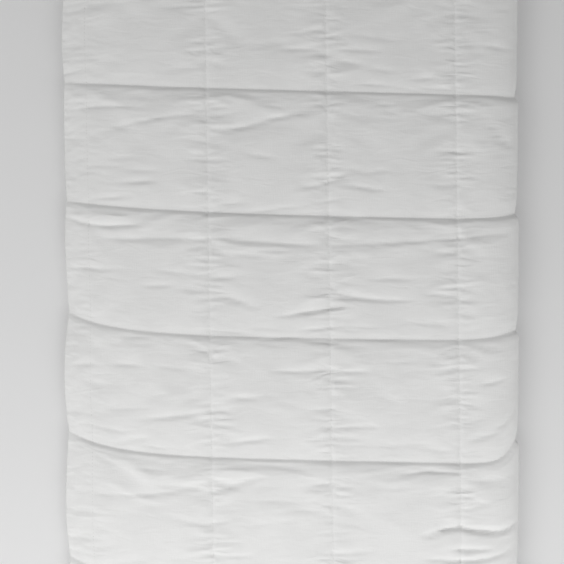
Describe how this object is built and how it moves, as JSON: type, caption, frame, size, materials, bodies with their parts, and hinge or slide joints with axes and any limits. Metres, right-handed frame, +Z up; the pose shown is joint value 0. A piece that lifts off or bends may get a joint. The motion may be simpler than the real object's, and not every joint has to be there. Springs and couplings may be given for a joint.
{
  "type": "folded quilt",
  "caption": "Plain white cotton bed quilt with wadding, sewn through in squares and folded in half along its length, lying flat to be laid on a bed or shelf.",
  "frame": {"origin": "on the surface that the folded quilt lies on, under the middle of its bounding box", "axes": "+Y along the quilt's length, +Z up, with the fold on the +X side and the open edges on the -X side"},
  "size_m": [0.674, 2.009, 0.0433],
  "materials": {
    "cotton": "washed plain-woven cotton, matt, lightly crumpled"
  },
  "bodies": {
    "root": {"quilt": "cotton"}
  },
  "joints": []
}
